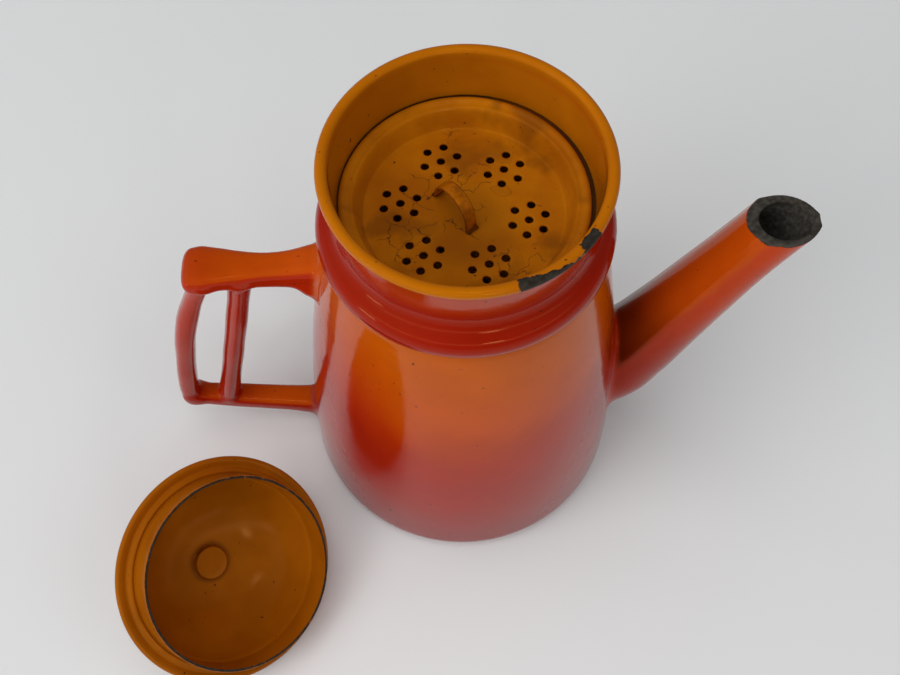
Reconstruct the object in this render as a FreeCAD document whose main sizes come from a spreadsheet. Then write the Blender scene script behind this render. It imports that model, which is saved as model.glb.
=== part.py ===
"""Enamelled French drip coffee pot: body, spout, handle, lift-out filter, water spreader and a lid.

Units are millimetres.  The origin is on the pot's axis at the underside of its base, +Z is up and
+X points to the spout.  The lid lies upside down beside the pot, on its knob and its flange.
"""
import FreeCAD, Part
import math
import os

import Sketcher

NODES_FOLDER = "parts"
ZERO = None  # a coordinate that lies on the sketch's own axis


# ---------------------------------------------------------------- sizes

def pot_sizes():
    """The cast body, its neck and the spout's route."""
    size = {
        "base_radius": 73.2,
        "base_corner": 9.0,
        "side_top_radius": 53.8,
        "side_top": 174.0,
        "side_bulge": 3.4,
        "wall": 3.2,
        "floor": 4.0,
        "neck_radius": 50.2,
        "neck_low": 178.6,
        "neck_top": 187.1,
        "shoulder_round": 6.0,
        "lip_round": 1.2,
    }
    size["base_flat"] = size["base_radius"] - size["base_corner"]
    run = size["side_top"] - size["base_corner"]
    lean = size["base_radius"] - size["side_top_radius"]
    chord = math.hypot(run, lean)
    size["side_round"] = (chord ** 2 / 4 + size["side_bulge"] ** 2) / (2 * size["side_bulge"])
    size["inner_corner"] = size["base_corner"] - size["wall"]
    size["inner_base"] = size["base_radius"] - size["wall"]
    size["inner_flat"] = size["inner_base"] - size["inner_corner"]
    size["inner_low"] = size["floor"] + size["inner_corner"]
    size["inner_top"] = size["side_top_radius"] - size["wall"]
    size["neck_inner"] = size["neck_radius"] - size["wall"]
    size["lip_outer"] = size["neck_radius"] - size["lip_round"]
    size["lip_inner"] = size["neck_inner"] + size["lip_round"]
    size["lip_low"] = size["neck_top"] - size["lip_round"]
    return size


def filter_sizes():
    """The hopper with its rolled rim and flared collar, and the coffee cup under it."""
    size = {
        "rim_radius": 52.5,
        "rim_top": 220.0,
        "rim_roll": 2.2,
        "sheet": 1.8,
        "hopper_inner": 46.6,
        "flare_start": 195.3,
        "cove": 8.0,
        "collar_radius": 56.0,
        "cup_radius": 43.4,
        "cup_sheet": 1.2,
        "cup_low": 134.0,
        "cup_corner": 5.0,
        "cup_hole": 2.2,
        "cup_ring": 9.0,
    }
    size["rim_centre"] = size["rim_radius"] - size["rim_roll"]
    size["rim_middle"] = size["rim_top"] - size["rim_roll"]
    size["rim_inner"] = size["rim_radius"] - 2 * size["rim_roll"]
    size["wall_outer"] = size["rim_inner"] + size["sheet"]
    under = size["rim_centre"] - size["wall_outer"]
    size["rim_low"] = size["rim_middle"] - math.sqrt(size["rim_roll"] ** 2 - under ** 2)
    size["hopper_outer"] = size["hopper_inner"] + size["sheet"]

    turn = math.radians(60)
    edge = math.radians(-35)
    centre = size["hopper_outer"] + size["cove"]
    size["cove_inner"] = size["cove"] + size["sheet"]
    size["join_outer"] = centre - size["cove"] * math.cos(turn)
    size["join_high"] = size["flare_start"] - size["cove"] * math.sin(turn)
    size["join_inner"] = centre - size["cove_inner"] * math.cos(turn)
    size["join_low"] = size["flare_start"] - size["cove_inner"] * math.sin(turn)
    size["collar_roll"] = (size["collar_radius"] - size["join_outer"]) / (1 - math.cos(turn))
    size["collar_inner_roll"] = size["collar_roll"] - size["sheet"]
    roll_centre = size["collar_radius"] - size["collar_roll"]
    size["collar_middle"] = size["join_high"] - size["collar_roll"] * math.sin(turn)
    size["collar_inner"] = roll_centre + size["collar_inner_roll"]
    size["edge_outer"] = roll_centre + size["collar_roll"] * math.cos(edge)
    size["edge_low"] = size["collar_middle"] + size["collar_roll"] * math.sin(edge)
    size["edge_inner"] = roll_centre + size["collar_inner_roll"] * math.cos(edge)
    size["edge_high"] = size["collar_middle"] + size["collar_inner_roll"] * math.sin(edge)

    size["ledge_low"] = size["flare_start"]
    size["ledge"] = size["ledge_low"] + size["cup_sheet"]
    size["cup_flat"] = size["cup_radius"] - size["cup_corner"]
    size["cup_round_top"] = size["cup_low"] + size["cup_corner"]
    size["cup_inner"] = size["cup_radius"] - size["cup_sheet"]
    size["cup_inner_corner"] = size["cup_corner"] - size["cup_sheet"]
    size["cup_floor"] = size["cup_low"] + size["cup_sheet"]
    return size


def spreader_sizes(hopper):
    """The dished disc that lies on the hopper's ledge, with its holes and its strap handle."""
    size = {
        "disc_gap": 1.0,
        "disc_sheet": 1.2,
        "disc_band": 41.4,
        "disc_flat": 37.0,
        "disc_sink": 8.3,
        "disc_bead": 1.1,
        "group_ring": 23.8,
        "hole_ring": 6.5,
        "hole_size": 3.1,
        "strap_wide": 5.2,
        "strap_sheet": 1.1,
        "strap_span": 19.8,
        "strap_high": 12.8,
    }
    size["disc_radius"] = hopper["hopper_inner"] - size["disc_gap"]
    size["band_low"] = hopper["ledge"]
    size["band_top"] = size["band_low"] + size["disc_sheet"]
    size["bead_top"] = size["band_top"] + size["disc_bead"]
    size["bead_start"] = size["disc_radius"] - 2 * size["disc_bead"]
    size["bead_middle"] = size["disc_radius"] - size["disc_bead"]
    size["flat_top"] = size["band_top"] - size["disc_sink"]
    size["flat_low"] = size["flat_top"] - size["disc_sheet"]
    size["band_under"] = size["disc_band"] - 0.5 * size["disc_sheet"]
    size["flat_under"] = size["disc_flat"] - 0.5 * size["disc_sheet"]
    size["arch"] = size["strap_span"] / 2
    size["arch_inner"] = size["arch"] - size["strap_sheet"]
    size["arch_start"] = size["flat_top"] + size["strap_high"] - size["arch"]
    return size


def lid_sizes():
    """The lid right way up in its own frame: the skirt's lower edge is at zero, the knob on top."""
    size = {
        "flange_radius": 51.0,
        "flange_bead": 1.5,
        "lid_sheet": 1.5,
        "skirt_radius": 42.6,
        "skirt_high": 15.0,
        "dome_rise": 24.0,
        "dome_start": 40.2,
        "step_rise": 0.6,
        "boss_radius": 9.5,
        "shank": 2.5,
        "button_radius": 7.8,
        "button_high": 3.3,
        "knob_neck": 6.5,
        "knob_radius": 12.5,
        "knob_high": 11.0,
        "knob_edge": 3.0,
        "knob_foot": 1.6,
        "knob_socket": 6.5,
    }
    size["skirt_inner"] = size["skirt_radius"] - size["lid_sheet"]
    size["flange_low"] = size["skirt_high"]
    size["flange_top"] = size["flange_low"] + size["lid_sheet"]
    size["bead_centre"] = size["flange_radius"] - size["flange_bead"]
    size["bead_low"] = size["flange_low"] - 0.5 * size["lid_sheet"]
    size["bead_mid"] = size["bead_low"] + size["flange_bead"]
    size["bead_high"] = size["bead_low"] + 2 * size["flange_bead"]
    size["bead_inner"] = size["bead_centre"] - size["flange_bead"]
    size["step_outer"] = size["dome_start"] + size["lid_sheet"]
    size["step_low"] = size["flange_low"] + size["step_rise"]
    size["step_top"] = size["step_low"] + size["lid_sheet"]
    size["dome_inside"] = size["flange_low"] + size["dome_rise"] - size["lid_sheet"]
    size["dome_top"] = size["flange_low"] + size["dome_rise"]
    rise = size["dome_inside"] - size["step_low"]
    run = size["dome_start"] - size["boss_radius"]
    size["dome_round"] = (run ** 2 + rise ** 2) / (2 * rise)
    size["dome_outer_round"] = size["dome_round"] + size["lid_sheet"]
    size["button_low"] = size["dome_inside"] - size["button_high"]
    size["knob_top"] = size["dome_top"] + size["knob_high"]
    size["knob_mid"] = size["knob_top"] - size["knob_edge"]
    size["knob_under"] = size["dome_top"] + size["knob_foot"]
    size["knob_end"] = size["knob_radius"] - size["knob_edge"]
    size["socket_top"] = size["dome_top"] + size["knob_socket"]
    return size


def all_sizes():
    """Every driving and worked-out size, by the name that it has in the spreadsheet."""
    size = pot_sizes()
    size.update(filter_sizes())
    size.update(spreader_sizes(size))
    size.update(lid_sizes())
    return size


# ---------------------------------------------------------------- document helpers

def make_sheet(doc, size):
    """Write each size to a cell and give the cell that size's name."""
    sheet = doc.addObject("Spreadsheet::Sheet", "Sizes")
    for row, (alias, value) in enumerate(size.items(), start=1):
        sheet.set(f"A{row}", alias)
        sheet.set(f"B{row}", f"{value:.6f}")
        sheet.setAlias(f"B{row}", alias)
    doc.recompute()
    return sheet


def origin_plane(body, role):
    """The origin plane of a body that has this role, such as XZ_Plane."""
    return next(item for item in body.Origin.OriginFeatures if item.Role == role)


def new_sketch(body, name, role):
    """A sketch on one of its own body's origin planes."""
    sketch = body.newObject("Sketcher::SketchObject", name)
    sketch.AttachmentSupport = [(origin_plane(body, role), "")]
    sketch.MapMode = "FlatFace"
    return sketch


def arc_between(start, end, radius, turn):
    """The arc under half a circle from start to end; turn is 1 if it bends left, -1 if right."""
    chord = end - start
    rise = math.sqrt(max(radius ** 2 - chord.Length ** 2 / 4, 0))
    left = FreeCAD.Vector(-chord.y, chord.x, 0).normalize()
    centre = start + chord * 0.5 + left * (rise * turn)
    first, last = (start, end) if turn > 0 else (end, start)
    angles = [math.atan2(point.y - centre.y, point.x - centre.x) for point in (first, last)]
    circle = Part.Circle(centre, FreeCAD.Vector(0, 0, 1), radius)
    return Part.ArcOfCircle(circle, angles[0], angles[1])


def pin_point(sketch, size, geometry, point, corner):
    """Hold one point of a sketch at the place that two named cells give."""
    kinds = (("DistanceX", -2), ("DistanceY", -1))
    for cell, (kind, axis) in zip(corner, kinds):
        if cell is ZERO:
            sketch.addConstraint(Sketcher.Constraint("PointOnObject", geometry, point, axis))
            continue
        number = sketch.addConstraint(
            Sketcher.Constraint(kind, -1, 1, geometry, point, size[cell]))
        sketch.setExpression(f"Constraints[{number}]", f"Sizes.{cell}")


def outline(sketch, size, corners, arcs):
    """Draw a closed outline; arcs gives the radius cell and the turn of each curved edge."""
    points = [FreeCAD.Vector(*(0.0 if cell is ZERO else size[cell] for cell in corner), 0)
              for corner in corners]
    ends = []
    for number, start in enumerate(points):
        end = points[(number + 1) % len(points)]
        if number in arcs:
            radius, turn = arcs[number]
            edge = sketch.addGeometry(arc_between(start, end, size[radius], turn))
            ends.append((edge, 1, 2) if turn > 0 else (edge, 2, 1))
        else:
            edge = sketch.addGeometry(Part.LineSegment(start, end))
            ends.append((edge, 1, 2))
    for number, (edge, first, last) in enumerate(ends):
        following, next_first, _ = ends[(number + 1) % len(ends)]
        sketch.addConstraint(Sketcher.Constraint("Coincident", edge, last, following, next_first))
    for (edge, first, last), corner in zip(ends, corners):
        pin_point(sketch, size, edge, first, corner)
    for number, (radius, turn) in arcs.items():
        place = sketch.addConstraint(Sketcher.Constraint("Radius", ends[number][0], size[radius]))
        sketch.setExpression(f"Constraints[{place}]", f"Sizes.{radius}")


def turned_body(doc, size, label, corners, arcs):
    """A body made by turning an outline, drawn as radius and height, about +Z."""
    body = doc.addObject("PartDesign::Body", label)
    body.Label = label
    sketch = new_sketch(body, f"{label}_outline", "XZ_Plane")
    outline(sketch, size, corners, arcs)
    turned = body.newObject("PartDesign::Revolution", f"{label}_turned")
    turned.Profile = sketch
    turned.ReferenceAxis = (sketch, ["V_Axis"])
    turned.Angle = 360
    sketch.Visibility = False
    doc.recompute()
    return body


def drill_pattern(doc, body, size, name, hole_cell, centres, count):
    """Cut round holes through a turned body along Z and repeat them about its axis."""
    sketch = new_sketch(body, f"{name}_sketch", "XY_Plane")
    for x, y in centres:
        centre = FreeCAD.Vector(x, y, 0)
        circle = Part.Circle(centre, FreeCAD.Vector(0, 0, 1), size[hole_cell] / 2)
        edge = sketch.addGeometry(circle)
        place = sketch.addConstraint(Sketcher.Constraint("Diameter", edge, size[hole_cell]))
        sketch.setExpression(f"Constraints[{place}]", f"Sizes.{hole_cell}")
        sketch.addConstraint(Sketcher.Constraint("DistanceX", -1, 1, edge, 3, x))
        sketch.addConstraint(Sketcher.Constraint("DistanceY", -1, 1, edge, 3, y))
    before = body.Shape.Volume
    pocket = body.newObject("PartDesign::Pocket", f"{name}_cut")
    pocket.Profile = sketch
    pocket.Type = "ThroughAll"
    pocket.Midplane = True
    doc.recompute()
    pattern = body.newObject("PartDesign::PolarPattern", f"{name}_pattern")
    pattern.Originals = [pocket]
    pattern.Axis = (sketch, ["N_Axis"])
    pattern.Angle = 360
    pattern.Occurrences = count
    body.Tip = pattern
    sketch.Visibility = False
    doc.recompute()
    drilled = before - body.Shape.Volume
    smallest = 0.9 * count * len(centres) * math.pi * (size[hole_cell] / 2) ** 2
    if drilled < smallest:
        raise RuntimeError(f"{name}: the holes took only {drilled:.2f} cubic mm")


def section(doc, name, place, tilt, half_width, half_depth):
    """An elliptic section in a bar's path: half_width lies along Y, half_depth across the bar.

    place is its centre as x and z, and tilt the direction of the bar there, as an angle up from +X.
    """
    ring = doc.addObject("Part::Ellipse", name)
    wide = half_width >= half_depth
    ring.MajorRadius = max(half_width, half_depth)
    ring.MinorRadius = min(half_width, half_depth)
    along = FreeCAD.Vector(math.cos(tilt), 0, math.sin(tilt))
    across = FreeCAD.Vector(0, 1, 0)
    major = across if wide else along.cross(across)
    rotation = FreeCAD.Rotation(major, along.cross(major), along, "XZY")
    ring.Placement = FreeCAD.Placement(FreeCAD.Vector(place[0], 0, place[1]), rotation)
    return ring


def bar(doc, name, stations):
    """A solid bar through elliptic sections; each station is x, z, half width and half depth."""
    rings = []
    for number, (x, z, half_width, half_depth) in enumerate(stations):
        before = stations[max(number - 1, 0)]
        after = stations[min(number + 1, len(stations) - 1)]
        tilt = math.atan2(after[1] - before[1], after[0] - before[0])
        rings.append(section(doc, f"{name}_{number}", (x, z), tilt, half_width, half_depth))
    loft = doc.addObject("Part::Loft", name)
    loft.Sections = rings
    loft.Solid = True
    loft.Ruled = False
    return loft


def cut(doc, label, base, tool):
    """One solid less another."""
    result = doc.addObject("Part::Cut", label)
    result.Label = label
    result.Base = base
    result.Tool = tool
    return result


# ---------------------------------------------------------------- the pot

SIDE = (("base_flat", ZERO), ("base_radius", "base_corner"), ("side_top_radius", "side_top"),
        ("neck_radius", "neck_low"))


def body_envelope(doc, size):
    """The space inside the cast body's outer face, which trims the spout and the handle."""
    corners = ((ZERO, ZERO),) + SIDE + (("neck_radius", "neck_top"), (ZERO, "neck_top"))
    arcs = {1: ("base_corner", 1), 2: ("side_round", 1), 3: ("shoulder_round", 1)}
    return turned_body(doc, size, "body_envelope", corners, arcs)


def pot_shell(doc, size):
    """The cast shell: a rounded base, a side that bows a little and a straight neck."""
    corners = ((ZERO, ZERO),) + SIDE + (
        ("neck_radius", "lip_low"),
        ("lip_outer", "neck_top"),
        ("lip_inner", "neck_top"),
        ("neck_inner", "lip_low"),
        ("neck_inner", "neck_low"),
        ("inner_top", "side_top"),
        ("inner_base", "inner_low"),
        ("inner_flat", "floor"),
        (ZERO, "floor"),
    )
    arcs = {1: ("base_corner", 1), 2: ("side_round", 1), 3: ("shoulder_round", 1),
            5: ("lip_round", 1), 7: ("lip_round", 1),
            9: ("shoulder_round", -1), 10: ("side_round", -1), 11: ("inner_corner", -1)}
    return turned_body(doc, size, "pot_shell", corners, arcs)


# x, z, half width along Y and half depth of the spout's outside and of its bore, from inside the
# body to past the mouth.  The far lip is drawn out a little, and the bore opens towards it.
SPOUT_OUTSIDE = (
    (48.0, 54.0, 23.0, 23.0),
    (68.0, 62.0, 21.5, 21.5),
    (79.0, 78.0, 18.6, 18.6),
    (88.5, 100.0, 16.4, 16.4),
    (98.0, 124.0, 14.7, 14.7),
    (110.0, 154.0, 12.8, 13.0),
    (124.2, 187.0, 11.4, 13.4),
)
SPOUT_BORE = (
    (48.0, 54.0, 15.5, 15.5),
    (68.0, 62.0, 15.0, 15.0),
    (79.0, 78.0, 13.6, 13.6),
    (88.5, 100.0, 12.4, 12.4),
    (98.0, 124.0, 11.2, 11.2),
    (110.0, 154.0, 9.5, 9.5),
    (125.4, 186.5, 8.4, 11.4),
)
MOUTH = 177.5


def spout_and_body(doc, size, envelope):
    """The spout, cut level at its mouth, and the shell with the spout's bore through its wall."""
    outer = bar(doc, "spout_outer", SPOUT_OUTSIDE)
    bore = bar(doc, "spout_bore", SPOUT_BORE)
    above = doc.addObject("Part::Box", "above_mouth")
    for side in ("Length", "Width", "Height"):
        above.setExpression(side, "Sizes.base_radius * 2")
    above.Placement.Base = FreeCAD.Vector(0, -size["base_radius"], MOUTH)
    tube = cut(doc, "spout_tube", outer, bore)
    level = cut(doc, "spout_level", tube, above)
    cut(doc, "spout", level, envelope)
    cut(doc, "pot_body", pot_shell(doc, size), bore)


# x, z, half width along Y and half depth of each bar of the handle
TOP_ARM = ((-50.0, 150.5, 9.6, 10.0), (-62.0, 150.0, 8.2, 8.4), (-78.0, 149.0, 7.0, 5.8),
           (-94.0, 149.5, 8.4, 5.0), (-106.0, 150.0, 9.2, 5.0), (-114.0, 149.0, 6.0, 3.4))
OUTER_BAR = ((-105.5, 152.0, 5.2, 4.4), (-109.0, 136.0, 5.2, 4.2), (-116.5, 116.0, 5.4, 4.4),
             (-124.0, 90.0, 5.4, 4.5), (-129.5, 60.0, 5.4, 4.5), (-133.5, 38.0, 5.4, 4.7),
             (-134.0, 24.5, 4.4, 4.2))
BRACE = ((-89.5, 147.0, 5.2, 4.6), (-94.0, 124.0, 5.0, 4.3), (-103.5, 81.0, 4.8, 4.3),
         (-115.0, 31.0, 5.2, 4.6), (-116.0, 27.0, 5.2, 4.6))
LOWER_ARM = ((-137.0, 29.5, 3.6, 3.2), (-130.0, 28.5, 5.4, 4.8), (-115.0, 25.6, 5.8, 4.9),
             (-95.0, 21.6, 5.8, 4.9), (-80.0, 18.6, 6.2, 5.3), (-60.0, 15.6, 7.0, 6.0))


def handle(doc, envelope):
    """The open cast handle: a broad upper arm, an outer bar, a brace and a lower arm."""
    bars = doc.addObject("Part::MultiFuse", "handle_bars")
    bars.Shapes = [bar(doc, "top_arm", TOP_ARM), bar(doc, "outer_bar", OUTER_BAR),
                   bar(doc, "brace", BRACE), bar(doc, "lower_arm", LOWER_ARM)]
    cut(doc, "handle", bars, envelope)


# ---------------------------------------------------------------- the filter

def filter_hopper(doc, size):
    """The hopper's wall, with a rolled rim above and a flared collar that covers the neck."""
    corners = (
        ("hopper_inner", "flare_start"),
        ("join_inner", "join_low"),
        ("collar_inner", "collar_middle"),
        ("edge_inner", "edge_high"),
        ("edge_outer", "edge_low"),
        ("collar_radius", "collar_middle"),
        ("join_outer", "join_high"),
        ("hopper_outer", "flare_start"),
        ("wall_outer", "rim_low"),
        ("rim_radius", "rim_middle"),
        ("rim_centre", "rim_top"),
        ("rim_inner", "rim_middle"),
        ("hopper_inner", "ledge"),
    )
    arcs = {0: ("cove_inner", 1), 1: ("collar_inner_roll", -1), 2: ("collar_inner_roll", -1),
            4: ("collar_roll", 1), 5: ("collar_roll", 1), 6: ("cove", -1),
            8: ("rim_roll", 1), 9: ("rim_roll", 1), 10: ("rim_roll", 1)}
    return turned_body(doc, size, "filter_hopper", corners, arcs)


def coffee_cup(doc, size):
    """The drawn cup that holds the coffee: a flange welded in the hopper and a perforated floor."""
    corners = (
        (ZERO, "cup_low"),
        ("cup_flat", "cup_low"),
        ("cup_radius", "cup_round_top"),
        ("cup_radius", "ledge_low"),
        ("hopper_inner", "ledge_low"),
        ("hopper_inner", "ledge"),
        ("cup_inner", "ledge"),
        ("cup_inner", "cup_round_top"),
        ("cup_flat", "cup_floor"),
        (ZERO, "cup_floor"),
    )
    arcs = {1: ("cup_corner", 1), 7: ("cup_inner_corner", -1)}
    body = turned_body(doc, size, "filter_cup", corners, arcs)
    spokes = [(size["cup_ring"] * (step + 1), 0) for step in range(3)]
    between = math.radians(15)
    for ring in (2.5, 3.5):
        reach = size["cup_ring"] * ring
        spokes.append((reach * math.cos(between), reach * math.sin(between)))
    drill_pattern(doc, body, size, "cup_holes", "cup_hole", spokes, 12)
    return body


SPREADER_CENTRE = (-0.6, -0.5)  # the loose spreader lies a little off the pot's axis
FIRST_GROUP = -10.0
STRAP_CENTRE = (-4.0, -0.6)
STRAP_ANGLE = -53.0


def spreader_disc(doc, size):
    """The dished disc: a rolled edge, a sloping step and a flat centre with groups of holes."""
    corners = (
        (ZERO, "flat_low"),
        ("flat_under", "flat_low"),
        ("band_under", "band_low"),
        ("disc_radius", "band_low"),
        ("disc_radius", "band_top"),
        ("bead_middle", "bead_top"),
        ("bead_start", "band_top"),
        ("disc_band", "band_top"),
        ("disc_flat", "flat_top"),
        (ZERO, "flat_top"),
    )
    arcs = {4: ("disc_bead", 1), 5: ("disc_bead", 1)}
    body = turned_body(doc, size, "spreader_disc", corners, arcs)
    group = math.radians(FIRST_GROUP)
    centre = FreeCAD.Vector(math.cos(group), math.sin(group), 0) * size["group_ring"]
    holes = [(centre.x, centre.y)]
    for step in range(6):
        angle = group + math.radians(30 + 60 * step)
        holes.append((centre.x + size["hole_ring"] * math.cos(angle),
                      centre.y + size["hole_ring"] * math.sin(angle)))
    drill_pattern(doc, body, size, "spreader_holes", "hole_size", holes, 6)
    body.Placement.Base = FreeCAD.Vector(*SPREADER_CENTRE, 0)
    return body


def pin_height(sketch, size, geometry, point, cell):
    """Hold one point of a sketch at the height in a named cell."""
    place = sketch.addConstraint(
        Sketcher.Constraint("DistanceY", -1, 1, geometry, point, size[cell]))
    sketch.setExpression(f"Constraints[{place}]", f"Sizes.{cell}")


def spreader_strap(doc, size):
    """The finger loop: one strip bent over in an arch, with its two ends on the disc."""
    body = doc.addObject("PartDesign::Body", "spreader_strap")
    body.Label = "spreader_strap"
    sketch = new_sketch(body, "strap_outline", "XZ_Plane")
    corners = (
        (size["arch"], size["flat_top"]), (size["arch"], size["arch_start"]),
        (-size["arch"], size["arch_start"]), (-size["arch"], size["flat_top"]),
        (-size["arch_inner"], size["flat_top"]), (-size["arch_inner"], size["arch_start"]),
        (size["arch_inner"], size["arch_start"]), (size["arch_inner"], size["flat_top"]),
    )
    points = [FreeCAD.Vector(x, z, 0) for x, z in corners]
    middle = FreeCAD.Vector(0, size["arch_start"], 0)
    up = FreeCAD.Vector(0, 0, 1)
    edges = []
    for first, second in ((0, 1), (2, 3), (3, 4), (4, 5), (6, 7), (7, 0)):
        edges.append(sketch.addGeometry(Part.LineSegment(points[first], points[second])))
    outer = sketch.addGeometry(Part.ArcOfCircle(Part.Circle(middle, up, size["arch"]), 0, math.pi))
    under = Part.Circle(middle, up, size["arch_inner"])
    inner = sketch.addGeometry(Part.ArcOfCircle(under, 0, math.pi))
    joins = ((edges[0], 2, outer, 1), (outer, 2, edges[1], 1), (edges[1], 2, edges[2], 1),
             (edges[2], 2, edges[3], 1), (edges[3], 2, inner, 2), (inner, 1, edges[4], 1),
             (edges[4], 2, edges[5], 1), (edges[5], 2, edges[0], 1))
    for join in joins:
        sketch.addConstraint(Sketcher.Constraint("Coincident", *join))
    for arc, cell in ((outer, "arch"), (inner, "arch_inner")):
        place = sketch.addConstraint(Sketcher.Constraint("Radius", arc, size[cell]))
        sketch.setExpression(f"Constraints[{place}]", f"Sizes.{cell}")
        sketch.addConstraint(Sketcher.Constraint("PointOnObject", arc, 3, -2))
        pin_height(sketch, size, arc, 3, "arch_start")
    for edge in (edges[0], edges[1], edges[3], edges[4]):
        sketch.addConstraint(Sketcher.Constraint("Vertical", edge))
    for edge in (edges[0], edges[3]):
        pin_height(sketch, size, edge, 1, "flat_top")
    for edge in (edges[2], edges[5]):
        sketch.addConstraint(Sketcher.Constraint("Horizontal", edge))
    pad = body.newObject("PartDesign::Pad", "strap_pad")
    pad.Profile = sketch
    pad.Midplane = True
    pad.setExpression("Length", "Sizes.strap_wide")
    sketch.Visibility = False
    body.Placement = FreeCAD.Placement(FreeCAD.Vector(*STRAP_CENTRE, 0),
                                       FreeCAD.Rotation(up, STRAP_ANGLE))
    doc.recompute()
    return body


# ---------------------------------------------------------------- the lid

def lid_shell(doc, size):
    """The pressed lid: skirt, beaded flange, a small step and a dome with a flat for the knob."""
    corners = (
        ("shank", "dome_inside"),
        ("boss_radius", "dome_inside"),
        ("dome_start", "step_low"),
        ("skirt_inner", "step_low"),
        ("skirt_inner", ZERO),
        ("skirt_radius", ZERO),
        ("skirt_radius", "flange_low"),
        ("bead_inner", "flange_low"),
        ("bead_centre", "bead_low"),
        ("flange_radius", "bead_mid"),
        ("bead_centre", "bead_high"),
        ("bead_inner", "flange_top"),
        ("skirt_radius", "flange_top"),
        ("step_outer", "step_top"),
        ("boss_radius", "dome_top"),
        ("shank", "dome_top"),
    )
    arcs = {1: ("dome_round", -1), 8: ("flange_bead", 1), 9: ("flange_bead", 1),
            13: ("dome_outer_round", 1)}
    return turned_body(doc, size, "lid_shell", corners, arcs)


def lid_knob(doc, size):
    """The low round knob that sits on the dome's flat, with a blind socket for the rivet."""
    corners = (
        ("shank", "dome_top"),
        ("knob_neck", "dome_top"),
        ("knob_neck", "knob_under"),
        ("knob_radius", "knob_mid"),
        ("knob_end", "knob_top"),
        (ZERO, "knob_top"),
        (ZERO, "socket_top"),
        ("shank", "socket_top"),
    )
    arcs = {3: ("knob_edge", 1)}
    return turned_body(doc, size, "lid_knob", corners, arcs)


def lid_rivet(doc, size):
    """The rivet that holds the knob: a broad flat head inside the dome and a shank through it."""
    corners = (
        (ZERO, "button_low"),
        ("button_radius", "button_low"),
        ("button_radius", "dome_inside"),
        ("shank", "dome_inside"),
        ("shank", "socket_top"),
        (ZERO, "socket_top"),
    )
    return turned_body(doc, size, "lid_rivet", corners, {})


LID_CENTRE = (-109.4, -89.8)
LID_LEAN = -33.0


def lid_placement(size):
    """Turn the lid over and lean it until its knob and its flange both touch the table.

    In the turned lid, u runs outward and w up, both from the centre of the skirt's edge.
    The table is the line that touches the knob's rounded end and the flange's bead from below.
    """
    knob = (size["knob_end"], -size["knob_mid"])
    bead = (size["bead_centre"], -size["bead_mid"])
    reach = math.hypot(bead[0] - knob[0], bead[1] - knob[1])
    slope = math.atan2(bead[1] - knob[1], bead[0] - knob[0])
    lean = slope + math.asin((size["knob_edge"] - size["flange_bead"]) / reach)
    height = math.sin(lean) * knob[0] - math.cos(lean) * knob[1] + size["knob_edge"]
    toward = math.radians(LID_LEAN)
    opening = FreeCAD.Vector(math.sin(lean) * math.cos(toward), math.sin(lean) * math.sin(toward),
                             math.cos(lean))
    flange_centre = FreeCAD.Vector(LID_CENTRE[0], LID_CENTRE[1], 0)
    back = opening * size["flange_low"]
    place = flange_centre + FreeCAD.Vector(back.x, back.y, height)
    return FreeCAD.Placement(place, FreeCAD.Rotation(FreeCAD.Vector(0, 0, 1), opening * -1))


def lid(doc, size):
    """The lid's three pieces, in their own frame and then laid beside the pot."""
    placement = lid_placement(size)
    for piece in (lid_shell(doc, size), lid_knob(doc, size), lid_rivet(doc, size)):
        piece.Placement = placement
    doc.recompute()


# ---------------------------------------------------------------- making and writing

NODES = ("pot_body", "spout", "handle", "filter_hopper", "filter_cup", "spreader_disc",
         "spreader_strap", "lid_shell", "lid_knob", "lid_rivet")


def check(doc):
    """Stop if any object failed or any sub-part has no valid shape."""
    for item in doc.Objects:
        if "Invalid" in item.State or "Error" in item.State:
            raise RuntimeError(f"{item.Label} failed: {item.State}")
    for name in NODES:
        shape = doc.getObject(name).Shape
        if shape.isNull() or not shape.isValid() or not shape.Solids:
            raise RuntimeError(f"{name} has no valid solid")


def main():
    size = all_sizes()
    doc = FreeCAD.newDocument("CoffeePot")
    make_sheet(doc, size)
    envelope = body_envelope(doc, size)
    spout_and_body(doc, size, envelope)
    handle(doc, envelope)
    filter_hopper(doc, size)
    coffee_cup(doc, size)
    spreader_disc(doc, size)
    spreader_strap(doc, size)
    lid(doc, size)
    doc.recompute()
    check(doc)
    os.makedirs(NODES_FOLDER, exist_ok=True)
    for name in NODES:
        shape = doc.getObject(name).Shape
        shape.exportStep(os.path.join(NODES_FOLDER, f"{name}.step"))
        print(f"{name}: {len(shape.Solids)} solid, {shape.Volume / 1000:.2f} cubic cm")


main()
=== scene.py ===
"""The looks of the enamelled drip coffee pot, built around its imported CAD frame.

Lengths are in millimetres until a mesh is made, and in metres in the materials and on the stage.
The CAD frame's own sizes are read from it.  The body, the hopper and the lid are turned shapes.
The spout, the handle and the water spreader are sculpted as distance fields, so that the enamel
pools where one part meets another.  The finger loop is a swept strip; the filter's cup is the CAD's.
"""
import math
from itertools import product

import bmesh
import bpy
import numpy as np
from mathutils import Matrix, Vector


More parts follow.
